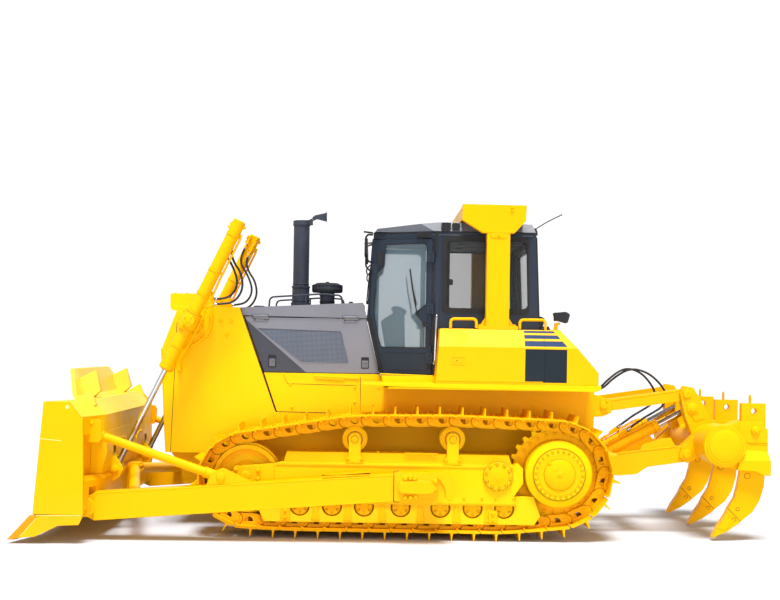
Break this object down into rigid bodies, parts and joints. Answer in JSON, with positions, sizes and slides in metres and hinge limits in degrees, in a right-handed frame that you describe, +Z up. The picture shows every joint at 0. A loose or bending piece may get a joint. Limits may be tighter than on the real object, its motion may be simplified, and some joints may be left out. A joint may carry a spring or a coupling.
{
  "type": "crawler bulldozer",
  "caption": "Crawler tractor with a lifting semi-U blade, a parallelogram ripper, a closed cab with opening doors, a roll-over bar and fixed track loops.",
  "frame": {"origin": "on the ground, under the middle of the whole machine's box", "axes": "+X forward to the blade, +Y to the machine's left, +Z up"},
  "size_m": [7.315, 3.7, 3.296],
  "materials": {
    "cab_paint": "satin",
    "console_plastic": "matte",
    "dark_metal": "matte",
    "engine": "painted",
    "glass": "clear",
    "grey_paint": "satin",
    "hose": "matte",
    "seat_cloth": "woven",
    "steel": "polished",
    "yellow_paint": "gloss"
  },
  "bodies": {
    "chassis": {"main_frame": "yellow_paint", "drive_case": "yellow_paint", "engine_block": "engine", "radiator_guard": "yellow_paint", "front_grille": "yellow_paint", "hood": "grey_paint", "lower_side_panels": "yellow_paint", "exhaust_stack": "dark_metal", "pre_cleaner": "dark_metal", "side_boxes": "yellow_paint", "fuel_tank": "yellow_paint", "fenders": "yellow_paint", "cab_shell": "cab_paint", "cab_windows": "glass", "operator_seat": "seat_cloth", "cab_interior": "console_plastic", "rops": "yellow_paint", "track_frames": "yellow_paint", "track_left": "yellow_paint", "track_right": "yellow_paint", "sprockets": "yellow_paint", "idlers": "yellow_paint", "track_rollers": "yellow_paint", "ripper_mount": "yellow_paint", "ripper_hose_left": "hose", "ripper_hose_right": "hose"},
    "blade": {"moldboard": "yellow_paint", "cutting_edge": "yellow_paint", "blade_back": "yellow_paint", "spill_guard": "yellow_paint", "push_arms": "yellow_paint", "brace_left": "yellow_paint", "tilt_cylinder_right": "yellow_paint", "cross_links": "yellow_paint"},
    "lift_barrel_left": {"lift_barrel_left": "yellow_paint", "lift_hose_left_front": "hose", "lift_hose_left_rear": "hose"},
    "lift_rod_left": {"lift_rod_left": "steel"},
    "lift_barrel_right": {"lift_barrel_right": "yellow_paint", "lift_hose_right_front": "hose", "lift_hose_right_rear": "hose"},
    "lift_rod_right": {"lift_rod_right": "steel"},
    "ripper_arm": {"ripper_arm": "yellow_paint"},
    "ripper_links": {"ripper_upper_links": "yellow_paint"},
    "ripper_beam": {"ripper_beam": "yellow_paint", "ripper_shanks": "yellow_paint"},
    "ripper_barrel_left": {"ripper_barrel_left": "yellow_paint"},
    "ripper_rod_left": {"ripper_rod_left": "steel"},
    "ripper_barrel_right": {"ripper_barrel_right": "yellow_paint"},
    "ripper_rod_right": {"ripper_rod_right": "steel"},
    "cab_door_left": {"cab_door_left": "cab_paint", "door_glass_left": "glass"},
    "cab_door_right": {"cab_door_right": "cab_paint", "door_glass_right": "glass"},
    "engine_door_left": {"engine_door_left": "grey_paint"},
    "engine_door_right": {"engine_door_right": "grey_paint"},
    "rain_cap": {"rain_cap": "dark_metal"}
  },
  "joints": [
    {"name": "blade_lift", "type": "hinge", "parent": "chassis", "child": "blade", "pos_m": [-0.2765, 0, 0.53], "axis": [0, -1, 0], "range_deg": [-8.4, 17.4]},
    {"name": "lift_barrel_swing_left", "type": "hinge", "parent": "chassis", "child": "lift_barrel_left", "pos_m": [2.1405, 0.865, 2.097], "axis": [0, -1, 0], "range_deg": [-10, 20]},
    {"name": "lift_rod_slide_left", "type": "slide", "parent": "lift_barrel_left", "child": "lift_rod_left", "axis": [0.435, 0, -0.9004], "range_m": [-0.88, 0.43]},
    {"name": "lift_barrel_swing_right", "type": "hinge", "parent": "chassis", "child": "lift_barrel_right", "pos_m": [2.1405, -0.865, 2.097], "axis": [0, -1, 0], "range_deg": [-10, 20]},
    {"name": "lift_rod_slide_right", "type": "slide", "parent": "lift_barrel_right", "child": "lift_rod_right", "axis": [0.435, 0, -0.9004], "range_m": [-0.88, 0.43]},
    {"name": "ripper_lift", "type": "hinge", "parent": "chassis", "child": "ripper_arm", "pos_m": [-2.0515, 0, 0.695], "axis": [0, 1, 0], "range_deg": [-42, 36]},
    {"name": "ripper_beam_level", "type": "hinge", "parent": "ripper_arm", "child": "ripper_beam", "pos_m": [-2.9065, 0, 0.827], "axis": [0, 1, 0], "range_deg": [-37, 43]},
    {"name": "ripper_link_swing", "type": "hinge", "parent": "chassis", "child": "ripper_links", "pos_m": [-2.0805, 0, 1.297], "axis": [0, 1, 0], "range_deg": [-43, 37]},
    {"name": "ripper_barrel_swing_left", "type": "hinge", "parent": "chassis", "child": "ripper_barrel_left", "pos_m": [-2.1175, 0.262, 0.78], "axis": [0, 1, 0], "range_deg": [-36, 31], "deforming": ["ripper_hose_left"]},
    {"name": "ripper_rod_slide_left", "type": "slide", "parent": "ripper_barrel_left", "child": "ripper_rod_left", "axis": [-0.8741, 0, 0.4857], "range_m": [-0.25, 0.22]},
    {"name": "ripper_barrel_swing_right", "type": "hinge", "parent": "chassis", "child": "ripper_barrel_right", "pos_m": [-2.1175, -0.262, 0.78], "axis": [0, 1, 0], "range_deg": [-36, 31], "deforming": ["ripper_hose_right"]},
    {"name": "ripper_rod_slide_right", "type": "slide", "parent": "ripper_barrel_right", "child": "ripper_rod_right", "axis": [-0.8741, 0, 0.4857], "range_m": [-0.25, 0.22]},
    {"name": "cab_door_left_hinge", "type": "hinge", "parent": "chassis", "child": "cab_door_left", "pos_m": [-0.2845, 0.806, 2], "axis": [0, 0, 1], "range_deg": [0, 90]},
    {"name": "cab_door_right_hinge", "type": "hinge", "parent": "chassis", "child": "cab_door_right", "pos_m": [-0.2845, -0.806, 2], "axis": [0, 0, -1], "range_deg": [0, 90]},
    {"name": "engine_door_left_hinge", "type": "hinge", "parent": "chassis", "child": "engine_door_left", "pos_m": [0.9825, 0.566, 2.168], "axis": [1, 0, 0], "range_deg": [0, 95]},
    {"name": "engine_door_right_hinge", "type": "hinge", "parent": "chassis", "child": "engine_door_right", "pos_m": [0.9825, -0.566, 2.168], "axis": [-1, 0, 0], "range_deg": [0, 95]},
    {"name": "rain_cap_hinge", "type": "hinge", "parent": "chassis", "child": "rain_cap", "pos_m": [0.9795, 0, 3.203], "axis": [0, -1, 0], "range_deg": [0, 70]}
  ],
  "couplings": [
    {"joint": "lift_barrel_swing_left", "follows": "blade_lift", "ratio": 0.9},
    {"joint": "lift_rod_slide_left", "follows": "blade_lift", "m_per_rad": -2.856},
    {"joint": "lift_barrel_swing_right", "follows": "blade_lift", "ratio": 0.9},
    {"joint": "lift_rod_slide_right", "follows": "blade_lift", "m_per_rad": -2.856},
    {"joint": "ripper_beam_level", "follows": "ripper_lift", "ratio": -1},
    {"joint": "ripper_link_swing", "follows": "ripper_lift", "ratio": 1},
    {"joint": "ripper_barrel_swing_left", "follows": "ripper_lift", "ratio": 0.8},
    {"joint": "ripper_rod_slide_left", "follows": "ripper_lift", "m_per_rad": 0.3063},
    {"joint": "ripper_barrel_swing_right", "follows": "ripper_lift", "ratio": 0.8},
    {"joint": "ripper_rod_slide_right", "follows": "ripper_lift", "m_per_rad": 0.3063}
  ]
}
